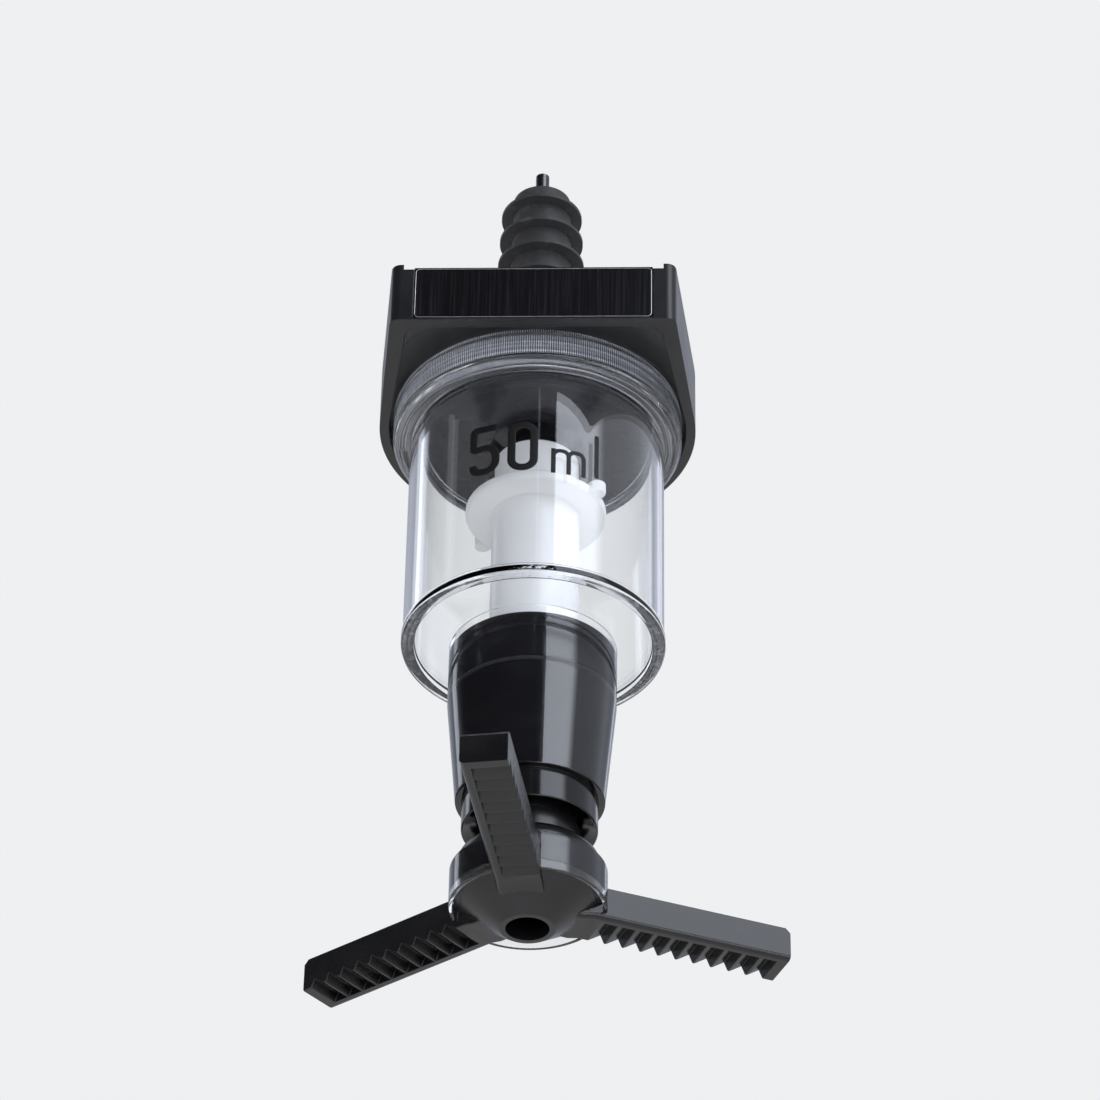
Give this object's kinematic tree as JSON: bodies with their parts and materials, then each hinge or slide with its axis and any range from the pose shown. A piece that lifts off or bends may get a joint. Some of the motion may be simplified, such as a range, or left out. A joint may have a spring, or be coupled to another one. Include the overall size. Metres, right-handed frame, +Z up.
{
  "type": "spirit measure",
  "caption": "Liquor optic dispenser: stopper head, clear measuring chamber with a lift valve, and a sprung lever star that a glass pushes up.",
  "frame": {"origin": "on the stopper's axis, at the height where the bottle's mouth sits on the seat washer", "axes": "+Z up along the axis into the upturned bottle, -Y to the front, where the label plate is, +X to the right seen from the front"},
  "size_m": [0.0858, 0.0796, 0.171],
  "materials": {
    "stopper_rubber": "matte",
    "seal_rubber": "matte",
    "inner_black": "gloss",
    "bright_steel": "satin",
    "head_black": "matte",
    "label_black": "gloss",
    "clear_plastic": "clear",
    "housing_black": "satin",
    "bush_plastic": "satin",
    "valve_white": "gloss",
    "star_black": "satin"
  },
  "bodies": {
    "measure": {"bottle_stopper": "stopper_rubber", "seat_washer": "seal_rubber", "inlet_spigot": "inner_black", "inlet_oring": "seal_rubber", "air_tube": "bright_steel", "head_housing": "head_black", "label_plate": "label_black", "chamber_seal": "seal_rubber", "measure_chamber": "clear_plastic", "floor_seal": "seal_rubber", "spigot_collar": "inner_black", "lower_housing": "housing_black", "housing_oring": "seal_rubber", "guide_bush": "bush_plastic", "spring_washer": "bright_steel", "return_spring": "bright_steel"},
    "plunger": {"valve_head": "valve_white", "inlet_seal": "seal_rubber", "valve_tube": "valve_white", "tube_oring": "seal_rubber", "plunger_spindle": "bush_plastic", "spindle_oring": "seal_rubber"},
    "lever": {"lever_star": "star_black", "splash_ring": "clear_plastic", "snap_ring": "bright_steel"}
  },
  "joints": [
    {"name": "plunger_lift", "type": "slide", "parent": "measure", "child": "plunger", "axis": [0, 0, 1], "range_m": [0, 0.0052], "stiffness_N_per_m": 400, "springref_m": -0.006, "deforming": ["return_spring"]},
    {"name": "lever_turn", "type": "hinge", "parent": "plunger", "child": "lever", "pos_m": [0, 0, -0.105], "axis": [0, 0, 1], "continuous": true}
  ]
}
